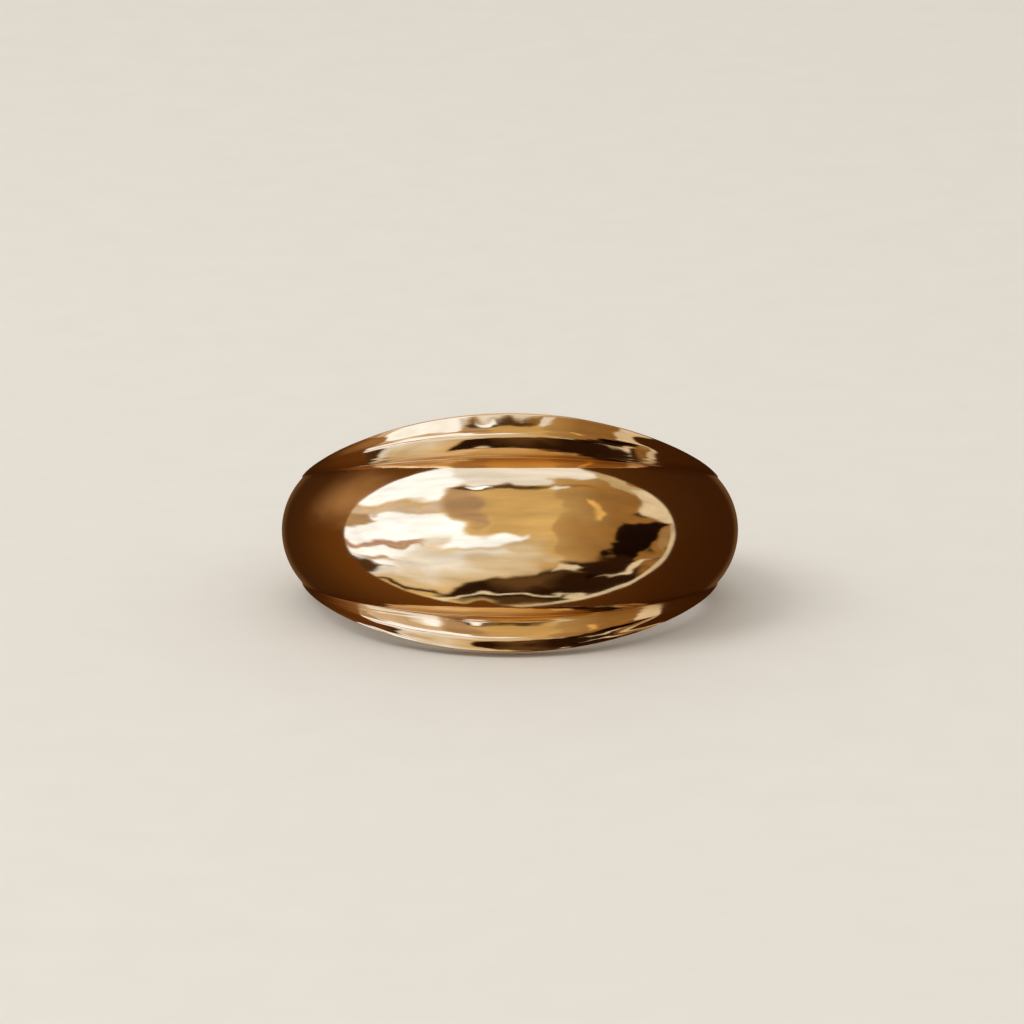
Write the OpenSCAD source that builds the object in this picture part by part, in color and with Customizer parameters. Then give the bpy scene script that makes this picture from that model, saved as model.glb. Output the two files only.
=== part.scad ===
// Dome ring: a wide polished ring with a round-topped dome along its crown, a crease on
// either side of the dome, and a narrow rail outside each crease that runs out at the sides.
// It lies on its side. The crown faces -Y, the floor is Z = 0, and the finger hole's axis
// leans back because the band is widest at the crown.

/* [Finger hole] */
// Inside diameter
bore_d = 17.3; // [15:0.1:21]

/* [Metal above the finger hole] */
// Dome's crest, at the crown
dome_crown = 2.62; // [2.4:0.02:3.2]
// Dome's crest, at the sides of the finger
dome_side = 2.42; // [2.2:0.02:3]
// Dome's crest, at the back of the finger
dome_back = 1.6; // [1.5:0.02:2.2]
// Bottom of the creases, at the crown
crease_crown = 0.85; // [0.8:0.01:1.3]
// Edge of the dome, at the sides
crease_side = 1.45; // [1.3:0.01:1.6]
// Edge of the dome, at the back
crease_back = 1.11; // [0.9:0.01:1.2]
// Outer edge of the rails, at the crown
rim_crown = 1.05; // [1:0.01:1.6]
// Outer edge of the band, at the sides
rim_side = 1.41; // [1.2:0.01:1.6]
// Outer edge of the band, at the back
rim_back = 1.05; // [0.8:0.01:1.2]

/* [Widths along the finger] */
// Dome between its creases, at the crown
dome_w_crown = 7.5; // [6:0.02:8]
// Dome at the sides of the finger
dome_w_side = 5; // [4.4:0.02:5.6]
// Dome at the back, before its sides are dressed flat
dome_w_back = 4.4; // [4:0.02:5]
// Upper rail at the crown
rail_w_upper = 2.12; // [1.6:0.02:2.6]
// Lower rail at the crown
rail_w_lower = 1.72; // [1.6:0.02:2.6]
// Band at the back, where it rests on the floor
band_w_back = 2.6; // [2.2:0.02:3.4]

/* [Rails] */
// Angle from the crown, round the finger, at which the rails run out
rail_end = 88; // [80:1:95]
// How early the rails narrow on their way round
rail_fall = 1.4; // [1.2:0.05:1.7]
// Height of a rail's bow as a share of its width
rail_bow = 0.225; // [0.15:0.005:0.25]

/* [Hidden] */

gold = [0.86, 0.67, 0.36];

bore_r = bore_d / 2;
back_h = band_w_back / 2;
back_r = bore_r + rim_back;

// A rail that has run out leaves the band's edge this much broken
edge_break = 0.1;
// Length over which the flats at the back blend into the band's own taper
flat_blend = 0.2;
// How far the solid goes on inside the bore, which then cuts it to size
inside = 0.6;

// Sections round the finger, and steps across the dome and across a rail
stations = 120;
dome_steps = 14;
rail_steps = 6;

// A size that varies smoothly round the finger. t is the angle from the crown.
function round_finger(crown, side, back, t) =
    (crown + 2 * side + back) / 4
    + (crown - back) / 2 * cos(t)
    + (crown - 2 * side + back) / 4 * cos(2 * t);

function dome_r(t) = bore_r + round_finger(dome_crown, dome_side, dome_back, t);
function crease_r(t) = bore_r + round_finger(crease_crown, crease_side, crease_back, t);
function rim_r(t) = bore_r + round_finger(rim_crown, rim_side, rim_back, t);
function dome_h(t) = round_finger(dome_w_crown, dome_w_side, dome_w_back, t) / 2;

// Width of the rail on one side: way is 1 for the upper side and -1 for the lower
function rail_crown(way) = way > 0 ? rail_w_upper : rail_w_lower;
function rail_w(way, t) =
    let (left = max(0, cos(t) - cos(rail_end)) / (1 - cos(rail_end)))
    norm([rail_crown(way) * pow(left, rail_fall), edge_break]);

// Height of the crown's rim above the middle of the band
function crown_h(way) = dome_h(0) + rail_w(way, 0);

// Flat from the crown's inner rim down to the back, on which the ring rests.
// It dresses only the back half, so it is lifted clear of the front.
function flat_slope(way) = (crown_h(way) - back_h) / (bore_r + back_r);
function flat_h(way, r, t) =
    crown_h(way) - flat_slope(way) * (bore_r - r * cos(t)) + 4 * pow(max(0, cos(t)), 2);

function soft_min(a, b, blend) =
    min(a, b) - pow(max(0, blend - abs(a - b)), 2) / (4 * blend);
function rim_h(way, r, t) =
    soft_min(dome_h(t) + rail_w(way, t), flat_h(way, r, t), flat_blend);

// Points between a and b on an arc that rises by rise over the straight line between them
function bow(a, b, rise, steps) =
    let (
        chord = b - a,
        along = chord / norm(chord),
        out = [along[1], -along[0]],
        r = (pow(norm(chord) / 2, 2) + pow(rise, 2)) / (2 * rise),
        half = asin(norm(chord) / 2 / r)
    )
    [for (i = [1 : steps - 1])
        let (turn = half * (2 * i / steps - 1))
        (a + b) / 2 + out * (r * cos(turn) - r + rise) + along * r * sin(turn)];

// One side of a section as [radius, height]: the wall inside the bore, the rim and the crease
function wall_point(way, t) =
    let (
        at_bore = rim_h(way, bore_r, t),
        at_rim = rim_h(way, rim_r(t), t),
        lean = (at_bore - at_rim) / (rim_r(t) - bore_r)
    )
    [bore_r - inside, way * (at_bore + lean * inside)];
function rim_point(way, t) = [rim_r(t), way * rim_h(way, rim_r(t), t)];
function crease_point(way, t) =
    [crease_r(t), way * (rim_h(way, rim_r(t), t) - rail_w(way, t))];

// The whole section at t, from the lower wall over the rails and the dome to the upper wall
function section(t) =
    let (
        rim_lo = rim_point(-1, t),
        crease_lo = crease_point(-1, t),
        crease_up = crease_point(1, t),
        rim_up = rim_point(1, t)
    )
    concat(
        [wall_point(-1, t), rim_lo],
        bow(rim_lo, crease_lo, rail_bow * rail_w(-1, t), rail_steps),
        [crease_lo],
        bow(crease_lo, crease_up, dome_r(t) - crease_r(t), dome_steps),
        [crease_up],
        bow(crease_up, rim_up, rail_bow * rail_w(1, t), rail_steps),
        [rim_up, wall_point(1, t)]
    );

angles = [for (i = [0 : stations - 1]) 360 * i / stations];
sections = [for (t = angles) section(t)];
section_size = len(sections[0]);
band_points = [
    for (i = [0 : stations - 1], p = sections[i])
        [p[0] * sin(angles[i]), -p[0] * cos(angles[i]), p[1]]
];

// Index of point j of section i, counting on past the last of each
function at(i, j) = (i % stations) * section_size + j % section_size;
band_faces = [
    for (i = [0 : stations - 1], j = [0 : section_size - 1])
        each [
            [at(i, j), at(i, j + 1), at(i + 1, j + 1)],
            [at(i, j), at(i + 1, j + 1), at(i + 1, j)]
        ]
];

// How the ring lies: it leans back until the crown's lower inner rim and the back both touch
lean = atan(flat_slope(-1));
lift = crown_h(-1) * cos(lean) - bore_r * sin(lean);
// Distance of each outer point towards the back, once the ring leans
depths = [
    for (i = [0 : stations - 1], p = sections[i])
        if (p[0] > bore_r)
            -p[0] * cos(angles[i]) * cos(lean) + p[1] * sin(lean)
];
middle = (min(depths) + max(depths)) / 2;

module band() {
    polyhedron(points = band_points, faces = band_faces, convexity = 6);
}

module finger_hole() {
    cylinder(h = 2 * crown_h(1) + 4, r = bore_r, center = true, $fn = 240);
}

module ring() {
    color(gold)
        translate([0, -middle, lift])
            rotate([-lean, 0, 0])
                difference() {
                    band();
                    finger_hole();
                }
}

ring();
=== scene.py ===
# %% [markdown]
# # A polished dome ring
# The ring is one piece of cast metal: a wide dome along the crown, a crease on either side
# of it, and a narrow rail outside each crease that runs out towards the sides of the finger.
# It lies on its side, crown towards the camera. This lesson models its surface, gives it a
# gold-plated finish, and lights it so that it shows what a curved mirror shows: the room.

# %% Load the fixed frame
import bmesh
import bpy
import math
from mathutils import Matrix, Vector


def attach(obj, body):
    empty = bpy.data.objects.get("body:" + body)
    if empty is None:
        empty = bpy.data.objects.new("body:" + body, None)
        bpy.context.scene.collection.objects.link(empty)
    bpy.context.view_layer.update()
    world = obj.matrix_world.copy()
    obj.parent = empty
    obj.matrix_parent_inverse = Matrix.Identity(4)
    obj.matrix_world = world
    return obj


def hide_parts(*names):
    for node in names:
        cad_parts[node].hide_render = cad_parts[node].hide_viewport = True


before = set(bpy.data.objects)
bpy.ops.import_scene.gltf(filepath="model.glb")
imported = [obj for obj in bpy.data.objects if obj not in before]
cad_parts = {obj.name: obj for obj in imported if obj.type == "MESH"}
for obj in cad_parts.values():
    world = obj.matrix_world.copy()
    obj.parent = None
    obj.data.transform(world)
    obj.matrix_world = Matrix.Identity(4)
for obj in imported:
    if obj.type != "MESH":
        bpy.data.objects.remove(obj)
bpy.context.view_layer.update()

# %% [markdown]
# ## Sizes
# The construction model fixes every size. They are repeated here in millimetres, because a
# jeweller thinks in millimetres, and are turned into metres only where a vertex is placed.
# A size that changes smoothly round the finger is given at the crown, at the sides and at
# the back, and a cosine joins the three. A rail's shape is given by its slope: how many degrees
# it rises or falls at each share of the way from its crease to its rim.

# %% Sizes of the ring
MM = 0.001
BORE_R = 17.3 / 2
BACK_H = 2.6 / 2
DOME_RISE = (2.62, 2.42, 1.6)
DOME_WIDTH = (7.5, 5.0, 4.4)
CREASE_RISE = (0.85, 1.45, 1.11)
RIM_RISE = (1.05, 1.41, 1.05)
BACK_R = BORE_R + RIM_RISE[2]
RAIL_WIDTH = {1: 2.12, -1: 1.72}
RAIL_END = math.radians(88)
RAIL_FALL = 1.4
RAIL_SLOPES = {
    1: [(0, 40), (0.24, 33), (0.29, 31), (0.44, 28), (0.64, -27), (0.82, -31), (1, -42)],
    -1: [(0, 38), (0.2, 31), (0.32, 27), (0.48, 20), (0.66, -24), (0.82, -31), (1, -42)],
}
RAIL_EDGE = 0.8
RAIL_FLATTER = 0.9
EDGE_BREAK = 0.1
FLAT_BLEND = 0.2
FLAT_CLEAR = 4


def round_finger(crown, side, back, t):
    """A size at the angle t from the crown."""
    even = (crown + 2 * side + back) / 4
    return even + (crown - back) / 2 * math.cos(t) + (crown - 2 * side + back) / 4 * math.cos(2 * t)


def dome_r(t):
    return BORE_R + round_finger(*DOME_RISE, t)


def crease_r(t):
    return BORE_R + round_finger(*CREASE_RISE, t)


def rim_r(t):
    return BORE_R + round_finger(*RIM_RISE, t)


def dome_h(t):
    return round_finger(*DOME_WIDTH, t) / 2


def rail_w(way, t):
    left = max(0.0, math.cos(t) - math.cos(RAIL_END)) / (1 - math.cos(RAIL_END))
    return math.hypot(RAIL_WIDTH[way] * left ** RAIL_FALL, EDGE_BREAK)


def crown_h(way):
    return dome_h(0) + rail_w(way, 0)


def rim_h(way, r, t):
    """Height of the side wall, which is dressed flat at the back, where the ring rests."""
    slope = (crown_h(way) - BACK_H) / (BORE_R + BACK_R)
    clear = FLAT_CLEAR * max(0.0, math.cos(t)) ** 2
    flat = crown_h(way) - slope * (BORE_R - r * math.cos(t)) + clear
    free = dome_h(t) + rail_w(way, t)
    return min(free, flat) - max(0.0, FLAT_BLEND - abs(free - flat)) ** 2 / (4 * FLAT_BLEND)


print("crown", round(crown_h(1) + crown_h(-1), 2), "mm wide, dome's crest at radius", round(dome_r(0), 2))

# %% [markdown]
# ## The section
# Cut across, the band is a closed outline: the plain wall of the finger hole, a side wall, a
# rail, a crease, the dome, and the same again. One way is to draw the curves with beziers;
# here each arc is a few points, because a subdivision surface rounds them afterwards. A corner
# that polishing has softened becomes two points close to it, and a crease keeps its corner.
# Near its crease a rail's slope ripples a little, as a polishing thread leaves it.

# %% One section of the band
DOME_STEPS = 12
RAIL_STEPS = 20
BORE_ROWS = 7
SOFT = 0.13
CREASE_SOFT = 0.06
RIPPLE_TURN = 7.0
RIPPLE_WAVES = (52, 89)
RIPPLE_REACH = 0.28


def bow(a, b, rise, steps):
    """Points between a and b on an arc that stands rise proud of the straight line."""
    a, b = Vector(a), Vector(b)
    along = (b - a).normalized()
    out = Vector((along.y, -along.x))
    half_chord = (b - a).length / 2
    r = (half_chord ** 2 + rise ** 2) / (2 * rise)
    half = math.asin(half_chord / r)
    points = []
    for i in range(1, steps):
        turn = half * (2 * i / steps - 1)
        points.append((a + b) / 2 + out * (r * math.cos(turn) - r + rise) + along * r * math.sin(turn))
    return points


def rail_heights(turns, fine=240):
    """How high a rail of width 1 stands over its crease, added up from its changing slope."""
    heights = [0.0]
    for i in range(fine):
        u = (i + 0.5) / fine
        after = next(k for k in range(1, len(turns)) if u <= turns[k][0])
        (u0, turn0), (u1, turn1) = turns[after - 1], turns[after]
        turn = turn0 + (turn1 - turn0) * (u - u0) / (u1 - u0)
        ripple = math.sin(RIPPLE_WAVES[0] * u) + math.sin(RIPPLE_WAVES[1] * u + 1)
        turn += RIPPLE_TURN * ripple * max(0.0, 1 - u / RIPPLE_REACH)
        heights.append(heights[-1] + math.tan(math.radians(turn)) / fine)
    return heights[:: fine // RAIL_STEPS]


RAIL_HEIGHTS = {way: rail_heights(turns) for way, turns in RAIL_SLOPES.items()}


def rail_curve(crease, rim, way, t):
    """The rail's points from its crease to its rim, which only its outer edge is bent to meet."""
    width = abs(rim.y - crease.y)
    tall = width * (1 - RAIL_FLATTER * math.sin(t) ** 2)
    heights = RAIL_HEIGHTS[way]
    missing = rim.x - crease.x - tall * heights[-1]
    points = []
    for i in range(1, RAIL_STEPS):
        u = i / RAIL_STEPS
        late = max(0.0, (u - RAIL_EDGE) / (1 - RAIL_EDGE)) ** 2
        high = tall * heights[i] + missing * late
        points.append(Vector((crease.x + high, crease.y + way * width * u)))
    return points


def beside(corner, other, distance):
    """A point on the way from a corner to its neighbour, at most a third of the way."""
    way = Vector(other) - Vector(corner)
    return Vector(corner) + way * min(distance / way.length, 1 / 3)


def section(t):
    """The outline at the angle t, as (radius, height) in millimetres."""
    side = {}
    for way in (-1, 1):
        bore = Vector((BORE_R, way * rim_h(way, BORE_R, t)))
        rim = Vector((rim_r(t), way * rim_h(way, rim_r(t), t)))
        crease = Vector((crease_r(t), rim.y - way * rail_w(way, t)))
        side[way] = (bore, rim, crease)
    dome = bow(side[-1][2], side[1][2], dome_r(t) - crease_r(t), DOME_STEPS)
    outline = []
    for way in (-1, 1):
        bore, rim, crease = side[way]
        rail = rail_curve(crease, rim, way, t)[::-1]
        next_dome = dome[0] if way < 0 else dome[-1]
        half = [
            beside(bore, (BORE_R, 0), SOFT),
            beside(bore, rim, SOFT),
            (bore + rim) / 2,
            beside(rim, bore, SOFT),
            beside(rim, rail[0], SOFT),
            *rail,
            beside(crease, rail[-1], CREASE_SOFT),
            crease,
            beside(crease, next_dome, CREASE_SOFT),
        ]
        if way < 0:
            outline += half + dome
        else:
            outline += half[::-1]
    top, bottom = outline[-1], outline[0]
    for row in range(1, BORE_ROWS):
        outline.append(top.lerp(bottom, row / BORE_ROWS))
    return outline


crown_section = section(0)
print("section of", len(crown_section), "points")

# %% [markdown]
# ## The band
# A ring is turned as on a lathe: a circle of points is carried to the crown's outline and
# spun round the finger. A lathe gives the same section everywhere, and this ring's changes,
# so each point keeps its number along the outline, and after the spin every section is eased
# to its own shape. That is quicker and cleaner than scaling eighty loops by hand.

# %% Spin the crown's section and ease every station
STATIONS = 80
SAME_POINT = 0.001


def fresh():
    """Nothing is selected or in edit mode, so the next operator acts on the next piece."""
    if bpy.context.object and bpy.context.object.mode != "OBJECT":
        bpy.ops.object.mode_set(mode="OBJECT")
    bpy.ops.object.select_all(action="DESELECT")


def spot(t, point):
    """Where a point of the section at t stands in space, in metres, before the ring leans."""
    return Vector((point.x * math.sin(t), -point.x * math.cos(t), point.y)) * MM


fresh()
bpy.ops.mesh.primitive_circle_add(vertices=len(crown_section), radius=MM, location=(0, 0, 0))
band = bpy.context.object
band.name = "ring_body"
bpy.ops.object.mode_set(mode="EDIT")
bpy.ops.mesh.select_mode(type="VERT")
mesh = bmesh.from_edit_mesh(band.data)
number = mesh.verts.layers.int.new("along_section")
mesh.verts.ensure_lookup_table()
for i, point in enumerate(crown_section):
    mesh.verts[i][number] = i
    mesh.verts[i].co = spot(0, point)
bmesh.update_edit_mesh(band.data)
bpy.ops.mesh.select_all(action="SELECT")
bpy.ops.mesh.spin(steps=STATIONS, angle=2 * math.pi, center=(0, 0, 0), axis=(0, 0, 1))
bpy.ops.mesh.select_all(action="SELECT")
bpy.ops.mesh.remove_doubles(threshold=SAME_POINT * MM)

mesh = bmesh.from_edit_mesh(band.data)
number = mesh.verts.layers.int["along_section"]
sections = [section(2 * math.pi * i / STATIONS) for i in range(STATIONS)]
for v in mesh.verts:
    turn = math.atan2(v.co.x, -v.co.y)
    station = round(turn / (2 * math.pi) * STATIONS) % STATIONS
    v.co = spot(2 * math.pi * station / STATIONS, sections[station][v[number]])
mesh.verts.layers.int.remove(number)
bmesh.update_edit_mesh(band.data)
bpy.ops.mesh.normals_make_consistent(inside=False)
print("band cage:", len(band.data.vertices), "then", len(mesh.verts), "points,", len(mesh.faces), "faces")

# %% [markdown]
# ## How it lies
# The crown is wider than the back, so a ring on its side leans until the crown's lower rim
# and the back both touch. The operator turns the other way when Blender has no window.

# %% Lean the band and set it on the floor
lean = math.atan((crown_h(-1) - BACK_H) / (BORE_R + BACK_R))
lift = crown_h(-1) * math.cos(lean) - BORE_R * math.sin(lean)
bpy.ops.mesh.select_all(action="SELECT")
bpy.ops.transform.rotate(value=lean, orient_axis="X", center_override=(0, 0, 0))
mesh = bmesh.from_edit_mesh(band.data)
near, far = min(v.co.y for v in mesh.verts), max(v.co.y for v in mesh.verts)
middle = (near + far) / 2
bpy.ops.transform.translate(value=(0, -middle, lift * MM))
bpy.ops.object.mode_set(mode="OBJECT")
print("leans", round(math.degrees(lean), 2), "degrees, lifted", round(lift, 3), "mm")

# %% [markdown]
# ## Smooth, and not quite even
# A subdivision surface turns the cage into a polished skin. Metal that is polished by hand is
# never an exact arc: its mirror image swims a little. A very weak displacement with a slow
# noise gives that, a few microns high, which only the reflections show. Polishing takes metal
# off, so the noise only ever goes inward, and the ring stays within its construction.

# %% Subdivide the band and give it the polisher's hand
SKIN_LEVEL = 2
HAND_HEIGHT = 0.012
HAND_SIZE = 1.6

skin = band.modifiers.new("skin", "SUBSURF")
skin.levels = SKIN_LEVEL
skin.render_levels = SKIN_LEVEL
bpy.ops.object.modifier_apply(modifier="skin")
swell = bpy.data.textures.new("polish_swell", "CLOUDS")
swell.noise_scale = HAND_SIZE * MM
swell.noise_depth = 1
hand = band.modifiers.new("hand", "DISPLACE")
hand.texture = swell
hand.texture_coords = "LOCAL"
hand.strength = HAND_HEIGHT * MM
hand.mid_level = 1.0
bpy.ops.object.modifier_apply(modifier="hand")
bpy.ops.object.shade_smooth()
print("polished skin:", len(band.data.polygons), "faces")

# %% [markdown]
# ## Helpers for shaders
# Shader maths reads best as plain expressions. The class below wraps a socket, so that adding
# or multiplying two of them adds the Math node, and one method adds any other node.

# %% A socket that does sums
class Sock:
    def __init__(self, tree, socket):
        self.tree = tree
        self.socket = socket

    def math(self, operation, *others):
        return Nodes(self.tree).add("ShaderNodeMath", {"operation": operation}, self, *others)

    def __add__(self, other):
        return self.math("ADD", other)

    def __sub__(self, other):
        return self.math("SUBTRACT", other)

    def __rsub__(self, other):
        return Nodes(self.tree).add("ShaderNodeMath", {"operation": "SUBTRACT"}, other, self)

    def __mul__(self, other):
        return self.math("MULTIPLY", other)

    def __truediv__(self, other):
        return self.math("DIVIDE", other)

    def __pow__(self, other):
        return self.math("POWER", other)

    def __abs__(self):
        return self.math("ABSOLUTE")

    def least(self, other):
        return self.math("MINIMUM", other)

    __radd__ = __add__


class Nodes:
    def __init__(self, tree):
        self.tree = tree

    def add(self, kind, settings=None, *inputs, output=0, **named):
        """Adds a node: its settings first, then the values or links of its sockets."""
        node = self.tree.nodes.new(kind)
        for name, value in (settings or {}).items():
            setattr(node, name, value)
        sockets = dict(enumerate(inputs))
        sockets.update({name.replace("_", " "): value for name, value in named.items()})
        for key, value in sockets.items():
            socket = node.inputs[key]
            if isinstance(value, Sock):
                self.tree.links.new(value.socket, socket)
            elif socket.type == "RGBA":
                socket.default_value = (*value, 1.0)
            else:
                socket.default_value = value
        return Sock(self.tree, node.outputs[output])


MIX = {"data_type": "RGBA"}
DOT = {"operation": "DOT_PRODUCT"}
SMOOTH = {"interpolation_type": "SMOOTHSTEP"}
print("shader helpers ready")

# %% [markdown]
# ## Gold plate
# Polished plate is a metal shader with a strong yellow and very little roughness. What makes
# it real is small: fine wiping marks that follow the finger's direction, a haze that comes and
# goes, and a deeper tone on the rails. Down in the creases the colour is darker still: that
# is painted shade. A polishing thread reaches the creases, and it leaves fine lines along them.

# %% The gold plate's material
HOLE = Vector((0, -middle, lift * MM))
ACROSS = Vector((1, 0, 0))
BACKWARD = Vector((0, math.cos(lean), -math.sin(lean)))
ALONG = Vector((0, math.sin(lean), math.cos(lean)))
GOLD = (0.96, 0.70, 0.36)
GOLD_DEEP = (0.86, 0.56, 0.24)
# The darker colour painted into the creases as shade
CREASE_PAINTED_SHADE = (0.66, 0.39, 0.15)
CREASE_REACH = 0.42
RAIL_TONE = (0.84, 0.55, 0.25)
RAIL_REACH = 0.5
RAIL_SHARE = 0.7
TONE_SCALE = 160.0
TONE_CHANGE = 0.5
TONE_MIDDLE = 0.2
HAZE_SCALE = 420.0
STROKE_SCALE = 2600.0
STROKE_STRETCH = (1.0, 1.0, 9.0)
STROKE_STRENGTH = 0.02
STROKE_DEPTH = 0.02
LINE_SPACING = 0.2
LINE_DEPTH = 0.02
ROUGHNESS = {"least": 0.03, "haze": 0.04, "strokes": 0.02, "deep": 0.06}


def past_crease(nodes, place):
    """How far a point lies past the nearer crease, by the crease's height at this angle."""
    def measure(axis):
        return nodes.add("ShaderNodeVectorMath", DOT, place, tuple(axis), output="Value") - HOLE.dot(axis)

    x, back, height = measure(ACROSS), measure(BACKWARD), measure(ALONG)
    cos_t = back * -1 / ((x * x + back * back) ** 0.5)
    crown, side, far = dome_h(0) * MM, dome_h(math.pi / 2) * MM, dome_h(math.pi) * MM
    twice = (cos_t * cos_t * 2 - 1) * ((crown - 2 * side + far) / 4)
    crease_h = cos_t * ((crown - far) / 2) + twice + (crown + 2 * side + far) / 4
    return abs(height) - crease_h


def gold_plate():
    material = bpy.data.materials.new("gold_plate_polished")
    material.use_nodes = True
    nodes = Nodes(material.node_tree)
    principled = material.node_tree.nodes["Principled BSDF"]
    place = nodes.add("ShaderNodeTexCoord", output="Object")
    haze = nodes.add("ShaderNodeTexNoise", None, Vector=place, Scale=HAZE_SCALE, Detail=3.0)
    strokes_place = nodes.add("ShaderNodeMapping", None, place, Scale=STROKE_STRETCH)
    strokes = nodes.add("ShaderNodeTexNoise", None, Vector=strokes_place, Scale=STROKE_SCALE, Detail=2.0)
    tone = nodes.add("ShaderNodeTexNoise", None, Vector=place, Scale=TONE_SCALE, Detail=2.0)
    changing = (tone - 0.5) * TONE_CHANGE + TONE_MIDDLE
    colour = nodes.add("ShaderNodeMix", MIX, output=2, Factor=changing, A=GOLD, B=GOLD_DEEP)
    past = past_crease(nodes, place)
    on_rail = nodes.add("ShaderNodeMapRange", SMOOTH, past, 0.0, RAIL_REACH * MM)
    deep = nodes.add("ShaderNodeMapRange", SMOOTH, abs(past), 0.0, CREASE_REACH * MM, 1.0, 0.0)
    railed = on_rail * RAIL_SHARE
    colour = nodes.add("ShaderNodeMix", MIX, output=2, Factor=railed, A=colour, B=RAIL_TONE)
    # Painted shade: down in the creases the colour is darkened to a deeper tone
    colour = nodes.add("ShaderNodeMix", MIX, output=2, Factor=deep, A=colour, B=CREASE_PAINTED_SHADE)
    roughness = ROUGHNESS["least"] + haze * ROUGHNESS["haze"]
    roughness = roughness + strokes * ROUGHNESS["strokes"] + deep * ROUGHNESS["deep"]
    scratch = {"Strength": STROKE_STRENGTH, "Distance": STROKE_DEPTH * MM}
    bump = nodes.add("ShaderNodeBump", None, Height=strokes, **scratch)
    at = past / (LINE_SPACING * MM)
    lines = nodes.add("ShaderNodeTexNoise", {"noise_dimensions": "1D"}, W=at, Scale=1.0, Detail=1.0)
    bump = nodes.add("ShaderNodeBump", None, Height=lines * deep, Distance=LINE_DEPTH * MM, Normal=bump)
    tree = material.node_tree
    tree.links.new(colour.socket, principled.inputs["Base Color"])
    tree.links.new(roughness.socket, principled.inputs["Roughness"])
    tree.links.new(bump.socket, principled.inputs["Normal"])
    principled.inputs["Metallic"].default_value = 1.0
    return material


band.data.materials.append(gold_plate())
print("gold plate on", band.name)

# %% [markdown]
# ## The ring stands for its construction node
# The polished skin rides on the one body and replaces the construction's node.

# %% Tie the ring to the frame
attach(band, "root")
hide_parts("ring")
print("ring_body rides on root")

# %% [markdown]
# ## Camera
# The photograph looks straight at the crown, a little over the ring's own plane, so the camera
# is aimed along the leaning ring plus two degrees. It is placed by measures taken in the
# picture: how many pixels a millimetre of the ring is, and where the finger hole's middle lies.

# %% Camera
VIEW_RISE = lean + math.radians(2.0)
DISTANCE = 0.32
SENSOR = 36.0
NEAREST = 0.01
SCALE = 20.6
IMAGE = 1024
RING_PIXEL = (510.0, 529.5)

to_camera = Vector((0, -math.cos(VIEW_RISE), math.sin(VIEW_RISE)))
camera_up = Vector((0, math.sin(VIEW_RISE), math.cos(VIEW_RISE)))
aside = (IMAGE / 2 - RING_PIXEL[0]) / SCALE * MM
above = (RING_PIXEL[1] - IMAGE / 2) / SCALE * MM
camera_data = bpy.data.cameras.new("view")
camera = bpy.data.objects.new("view", camera_data)
bpy.context.scene.collection.objects.link(camera)
camera.location = HOLE + to_camera * DISTANCE + Vector((aside, 0, 0)) + camera_up * above
camera.rotation_euler = (-to_camera).to_track_quat("-Z", "Y").to_euler()
camera_data.sensor_width = SENSOR
camera_data.lens = SENSOR * DISTANCE / (IMAGE / SCALE * MM)
camera_data.clip_start = NEAREST
bpy.context.scene.camera = camera
print("lens", round(camera_data.lens, 1), "mm")

# %% [markdown]
# ## Floor and lamp
# The floor is a plain pale sheet with a barely visible grain. It takes the ring's shadow, but it
# is kept out of mirror reflections, because the studio painted below has its own surround.
# One soft lamp from the left gives the shadow its direction.

# %% Floor and soft lamp
FLOOR_SIZE = 3.0
FLOOR_PALE = (0.72, 0.68, 0.62)
FLOOR_PALER = (0.76, 0.72, 0.66)
FLOOR_ROUGHNESS = 0.75
GRAIN_SCALE = 300.0
LAMP_SIZE = 0.25
LAMP_POWER = 0.8
LAMP_PLACE = (-0.3, -0.12, 0.4)


def floor_finish():
    material = bpy.data.materials.new("pale_floor")
    material.use_nodes = True
    nodes = Nodes(material.node_tree)
    place = nodes.add("ShaderNodeTexCoord", output="Object")
    grain = nodes.add("ShaderNodeTexNoise", None, Vector=place, Scale=GRAIN_SCALE, Detail=3.0)
    colour = nodes.add("ShaderNodeMix", MIX, output=2, Factor=grain, A=FLOOR_PALE, B=FLOOR_PALER)
    principled = material.node_tree.nodes["Principled BSDF"]
    material.node_tree.links.new(colour.socket, principled.inputs["Base Color"])
    principled.inputs["Roughness"].default_value = FLOOR_ROUGHNESS
    return material


fresh()
bpy.ops.mesh.primitive_plane_add(size=FLOOR_SIZE, location=(0, 0, 0))
floor = bpy.context.object
floor.name = "pale_floor"
floor.data.materials.append(floor_finish())
floor.visible_glossy = False

light_data = bpy.data.lights.new("soft_left", "AREA")
light_data.shape = "RECTANGLE"
light_data.size = LAMP_SIZE
light_data.size_y = LAMP_SIZE
light_data.energy = LAMP_POWER
light = bpy.data.objects.new("soft_left", light_data)
bpy.context.scene.collection.objects.link(light)
light.location = LAMP_PLACE
light.rotation_euler = (HOLE - light.location).to_track_quat("-Z", "Y").to_euler()
light.visible_glossy = False
print("floor of", FLOOR_SIZE, "m and a lamp", round((light.location - HOLE).length, 2), "m away")

# %% [markdown]
# ## The studio that the ring mirrors
# A polished ring shows its surroundings and little else. Seen from the camera, everything
# behind this one is a dark brown surround, and everything in front of it is a studio: tall soft
# boxes on the left, a pale ceiling, a warm backdrop, dark flags on the right and low down.
# The world shader paints them by direction. A place is given by the slope that a mirror needs
# to show it: (0, 0) is straight back to the camera, and at 0.7 the mirror is turned by 45
# degrees, so it looks sideways. There the surround begins. A slow noise pushes every place
# about a little, which bends the outlines.

# %% Directions, and outlines with soft edges
RAGGED = 0.22
RAGGED_SCALE = 6.0
HUNDREDTH = 0.01

world = bpy.data.worlds.new("studio")
bpy.context.scene.world = world
world.use_nodes = True
studio = Nodes(world.node_tree)


def dot(vector, axis):
    return studio.add("ShaderNodeVectorMath", DOT, vector, tuple(axis), output="Value")


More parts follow.
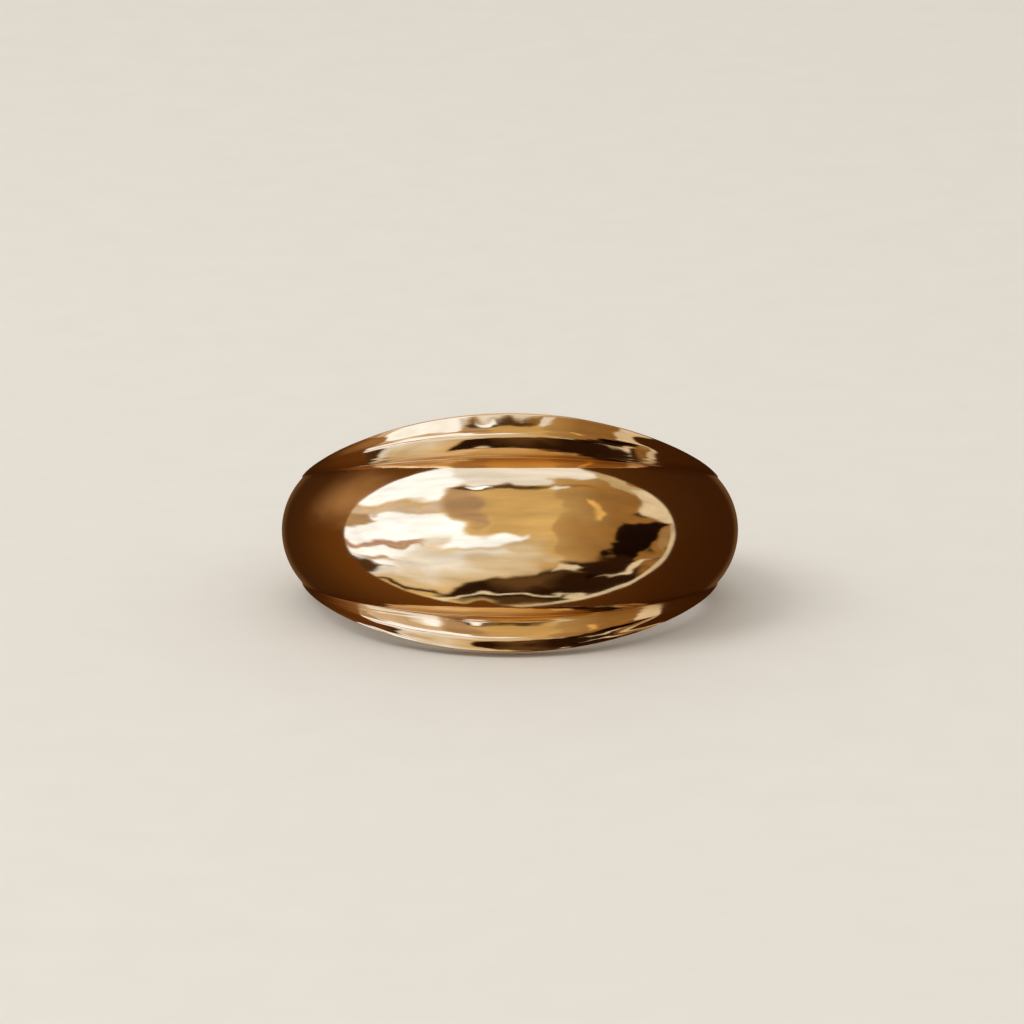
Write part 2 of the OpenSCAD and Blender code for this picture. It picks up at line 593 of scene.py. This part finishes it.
def smooth(value, low, high):
    return studio.add("ShaderNodeMapRange", SMOOTH, value, low, high)


def over(under, colour, mask):
    return studio.add("ShaderNodeMix", MIX, output=2, Factor=mask, A=under, B=colour)


look = studio.add("ShaderNodeTexCoord", output="Generated")
half_sum = studio.add("ShaderNodeVectorMath", {"operation": "ADD"}, look, tuple(to_camera))
half_way = studio.add("ShaderNodeVectorMath", {"operation": "NORMALIZE"}, half_sum)
facing = dot(look, to_camera)
ragged = studio.add("ShaderNodeTexNoise", output="Color", Vector=half_way, Scale=RAGGED_SCALE, Detail=1.6)
split = studio.add("ShaderNodeVectorMath", {"operation": "SUBTRACT"}, ragged, (0.5, 0.5, 0.5))
true_across = dot(half_way, (1, 0, 0))
true_upward = dot(half_way, camera_up)
across = true_across + dot(split, (1, 0, 0)) * RAGGED
upward = true_upward + dot(split, (0, 1, 0)) * RAGGED
radius = (true_across * true_across + true_upward * true_upward) ** 0.5


def card(corners, edge):
    """1 inside a convex outline and 0 outside it, with an edge this soft, all in hundredths."""
    points = [Vector(corner) * HUNDREDTH for corner in corners]
    centre = sum(points, Vector((0, 0))) / len(points)
    inside = None
    for here, there in zip(points, points[1:] + points[:1]):
        inward = Vector((here.y - there.y, there.x - here.x)).normalized()
        if inward.dot(centre - here) < 0:
            inward = -inward
        from_edge = across * inward.x + (upward * inward.y - inward.dot(here))
        inside = from_edge if inside is None else inside.least(from_edge)
    soft = edge * HUNDREDTH / 2
    return smooth(inside, -soft, soft)


print("studio directions ready")

# %% [markdown]
# ## Cards, lamps and flags
# A card is a tone with a convex outline, laid over the ones before it. Tones stand in front of
# gold, which keeps only a third of the blue, so a card that should look white is bluish. Bent
# and softened outlines help, because straight, clean edges in a reflection look drawn. A slow
# drift of brightness over all of it stands for the unevenness of real light.

# %% Cards of the studio
TONES = {
    "white": (1.12, 1.45, 2.50),
    "milk": (0.86, 1.00, 1.48),
    "ivory": (0.82, 0.74, 0.62),
    "cream": (0.72, 0.71, 0.76),
    "sand": (0.52, 0.46, 0.38),
    "beam": (0.66, 0.63, 0.75),
    "honey": (0.66, 0.54, 0.34),
    "amber": (0.62, 0.49, 0.29),
    "fold": (0.45, 0.345, 0.285),
    "rose": (0.50, 0.34, 0.36),
    "shade": (0.29, 0.165, 0.062),
    "tan": (0.34, 0.24, 0.14),
    "umber": (0.16, 0.095, 0.045),
    "walnut": (0.10, 0.058, 0.027),
    "bark": (0.070, 0.040, 0.018),
    "dark": (0.024, 0.010, 0.005),
    "black": (0.008, 0.003, 0.002),
    "glint": (0.84, 0.60, 0.28),
}
# Each card: its name, its tone, then in hundredths the softness of its edge and its corners
CARDS = [
    ("column", "amber", 3, [(-11, 48), (21, 48), (21, -25), (-11, -25)]),
    ("ceiling", "milk", 3, [(-40, 80), (30, 80), (33, 60), (13, 51), (-12, 50), (-40, 50)]),
    ("box_high", "white", 5, [(-80, 24), (-60, 80), (-10, 80), (-22, 50), (-25, 38), (-45, 32)]),
    ("box_low", "white", 5, [(-80, 12), (-60, 21), (-28, 20), (-19, 0), (-30, -42), (-80, -42)]),
    ("beam_end", "beam", 4, [(-75, 14), (-66, 24), (-42, 30), (-36, 22), (-60, 19)]),
    ("beam", "beam", 4, [(-62, 23), (-30, 35), (-17, 42), (-17, 25), (-40, 20.5), (-60, 20)]),
    ("fold", "fold", 6, [(-25, 40), (-20, 49), (-10, 47), (-12, 30), (-12, 2), (-25, 16)]),
    ("box_end", "fold", 3, [(-75, 21), (-60, 20), (-57, 14), (-65, 9), (-75, 10)]),
    ("bar_high", "rose", 3, [(-75, -6.5), (-33, -8.5), (-34, -12), (-75, -11)]),
    ("bar_low", "fold", 2, [(-66, -11), (-38, -11), (-31, -14.5), (-50, -14)]),
    ("bounce", "cream", 16, [(-30, -5), (10, -8), (18, -27), (0, -38), (-30, -50), (-55, -44)]),
    ("bounce_left", "milk", 14, [(-40, -20), (-20, -20), (-18, -30), (-30, -40), (-50, -38)]),
    ("gleam", "white", 4, [(-25, -3), (-2, 0), (10, 0), (6, -6), (-10, -10), (-28, -13)]),
    ("gleam_foot", "milk", 5, [(-20, -15), (-3, -13), (2, -17), (-10, -20), (-25, -21)]),
    ("lip", "bark", 3, [(-25, 46), (-12, 50.5), (16, 50), (18, 48), (2, 44), (-18, 43)]),
    ("lip_right", "shade", 3, [(10, 50), (30, 50), (42, 42), (30, 45)]),
    ("lamp_left", "white", 1.5, [(-17, 47.5), (-12, 50.5), (-6, 49.5), (-5, 47.5), (-10, 45.5)]),
    ("lamp_right", "milk", 1.5, [(18, 47), (20, 50), (24, 48), (25, 45.5), (21, 45)]),
    ("glint", "glint", 3, [(34, 36), (37.5, 36), (37, 20), (35.5, 10), (33, 12)]),
    ("flag_low", "dark", 4, [(-30, -57), (-10, -43), (12, -34), (56, -38), (44, -60), (0, -70)]),
    ("flag_lit", "walnut", 10, [(-8, -44), (6, -36), (20, -38), (15, -50), (3, -55)]),
    ("flag_right", "black", 2, [(45.5, 2), (48, 11), (68, 12), (62, -8), (52, -26), (43, -26)]),
    ("flag_under", "black", 2, [(43, -20), (54, -20), (46, -36), (36, -46), (32, -42)]),
    ("flag_foot", "dark", 5, [(20, -25), (30, -24), (46, -20), (52, -30), (42, -42), (25, -34)]),
    ("oval", "cream", 1.5, [(18, -35.5), (21, -31.5), (28, -29), (31, -30.5), (25, -35)]),
    ("edge_a", "sand", 2.5, [(26, 66), (40, 64), (58, 44), (51, 36), (40, 49)]),
    ("edge_b", "cream", 2.5, [(48, 46), (60, 44), (70, 20), (72, 8), (62, 15), (54, 27)]),
    ("edge_c", "tan", 2, [(69, 12), (73, 5), (70, -12), (60, -28), (56, -24), (64, -6)]),
    ("edge_d", "cream", 2, [(57, -20), (61, -25), (52, -38), (41, -44), (38, -42), (48, -34)]),
    ("edge_gap", "umber", 3, [(66, -5), (70, -5), (66, -20), (50, -42), (47, -42), (60, -22)]),
    ("hook", "bark", 1.5, [(53, 22), (56, 24), (60, 18), (59, 16), (56, 19)]),
    ("low_line", "cream", 1.2, [(-34, -57), (0, -58.8), (27, -58.8), (27, -60.6), (0, -61), (-30, -60.5)]),
    ("low_shade", "bark", 4, [(-8, -65), (5, -63.5), (24, -65), (20, -70), (-5, -70)]),
    ("low_oval", "cream", 1.5, [(20, -62), (30, -59), (38, -60), (33, -64), (25, -65)]),
    ("nick_a", "bark", 4, [(-70, -20), (-60, -25), (-50, -34), (-55, -42), (-66, -36)]),
    ("nick_b", "bark", 2, [(-54, -45), (-36, -51), (-26, -56), (-44, -53)]),
    ("nick_c", "fold", 4, [(-64, -20), (-50, -24), (-44, -28), (-58, -27)]),
]
DRIFT_SCALE = 3.2
DRIFT_STRETCH = (1.0, 4.0, 4.0)
BRIGHTNESS = (0.62, 0.8)
BACKDROP_SWAY = 0.2
BACKDROP_FADE = (-0.05, 0.5)
RIM_LIGHT = (0.680, 0.688)
RIM_LIGHT_TOP = (-0.1, 0.25)
RIM_LIGHT_LEFT = (-0.05, 0.2)
RIM_LIGHT_SHARE = 0.8

drift_place = studio.add("ShaderNodeMapping", None, half_way, Scale=DRIFT_STRETCH)
drift_noise = {"Scale": DRIFT_SCALE, "Detail": 3.0, "Roughness": 0.55}
drift = studio.add("ShaderNodeTexNoise", None, Vector=drift_place, **drift_noise)
swaying = across + (drift - 0.5) * BACKDROP_SWAY
painted = over(TONES["honey"], TONES["shade"], smooth(swaying, *BACKDROP_FADE))
for name, tone, edge, corners in CARDS:
    painted = over(painted, TONES[tone], card(corners, edge))
low_right = (1 - smooth(upward, *RIM_LIGHT_TOP)) * smooth(across, *RIM_LIGHT_LEFT)
rim_light = smooth(radius, *RIM_LIGHT) * low_right
painted = over(painted, TONES["cream"], rim_light * RIM_LIGHT_SHARE)
brightness = drift * BRIGHTNESS[1] + BRIGHTNESS[0]
uneven = studio.add("ShaderNodeVectorMath", {"operation": "SCALE"}, painted, Scale=brightness)
print("studio of", len(CARDS), "cards")

# %% [markdown]
# ## The surround, and two kinds of ray
# The brown surround is darkest on the right. On the left it is lighter, and the soft boxes
# give it a warm glow. Only the other views show what is above, behind and below the ring: a
# warm ceiling with one more soft box, a dark room and the pale floor. Only mirror rays see
# this picture. All the others get an even, warm white, which lights the floor evenly and is
# quicker too.

# %% Surround and background
HORIZON = 0.70
SURROUND = {
    "near": (0.135, 0.052, 0.012),
    "far": (0.050, 0.019, 0.006),
    "right": (0.040, 0.013, 0.003),
}
RIGHT_SHARE = 0.85
GLOW = (0.50, 0.31, 0.18)
BEHIND = (0.13, 0.065, 0.025)
OVERHEAD = (0.50, 0.42, 0.32)
BELOW = (0.42, 0.34, 0.25)
FLOOR_LIGHT = (0.86, 0.84, 0.80)
LOW_CUT = [(-50, -51), (-30, -59), (0, -65.5), (20, -67.5), (20, -85), (-60, -85)]
BOX_MIDDLE = -0.08
# Each part fades in or out between two values of its own measure
FADE = {
    "far": (HORIZON, 0.98),
    "right": (-0.25, 0.75),
    "glow_right_end": (-0.75, -0.35),
    "glow_foot": (0.0, 0.4),
    "glow_outer_end": (HORIZON, 0.92),
    "behind": (-0.99, -0.88),
    "overhead": (0.73, 0.80),
    "box_front": (0.77, 0.79),
    "box_sides": (0.24, 0.28),
    "below": (0.80, 0.88),
    "front": (-0.015, 0.02),
}

around = over(SURROUND["near"], SURROUND["far"], smooth(radius, *FADE["far"]))
around = over(around, SURROUND["right"], smooth(true_across, *FADE["right"]) * RIGHT_SHARE)
high_left = (1 - smooth(across, *FADE["glow_right_end"])) * smooth(upward, *FADE["glow_foot"])
glow = high_left * (1 - smooth(radius, *FADE["glow_outer_end"]))
around = over(around, GLOW, glow)
around = over(around, BEHIND, 1 - smooth(facing, *FADE["behind"]))
around = over(around, OVERHEAD, smooth(true_upward, *FADE["overhead"]))
box_width = 1 - smooth(abs(true_across - BOX_MIDDLE), *FADE["box_sides"])
box_top = smooth(true_upward, *FADE["box_front"]) * box_width
around = over(around, TONES["ivory"], box_top)
around = over(around, BELOW, smooth(true_upward * -1, *FADE["below"]))
in_front = smooth(facing, *FADE["front"]) * (1 - card(LOW_CUT, 2))
mirrored = over(around, uneven, in_front)

tree = world.node_tree
background = tree.nodes["Background"]
tree.links.new(mirrored.socket, background.inputs["Color"])
plain = studio.add("ShaderNodeBackground", None, Color=FLOOR_LIGHT)
mirror_ray = studio.add("ShaderNodeLightPath", output="Is Glossy Ray")
pictured = Sock(tree, background.outputs[0])
shown = studio.add("ShaderNodeMixShader", None, mirror_ray, plain, pictured)
tree.links.new(shown.socket, tree.nodes["World Output"].inputs["Surface"])
bpy.context.scene.view_settings.view_transform = "Standard"
print("surround and background joined")
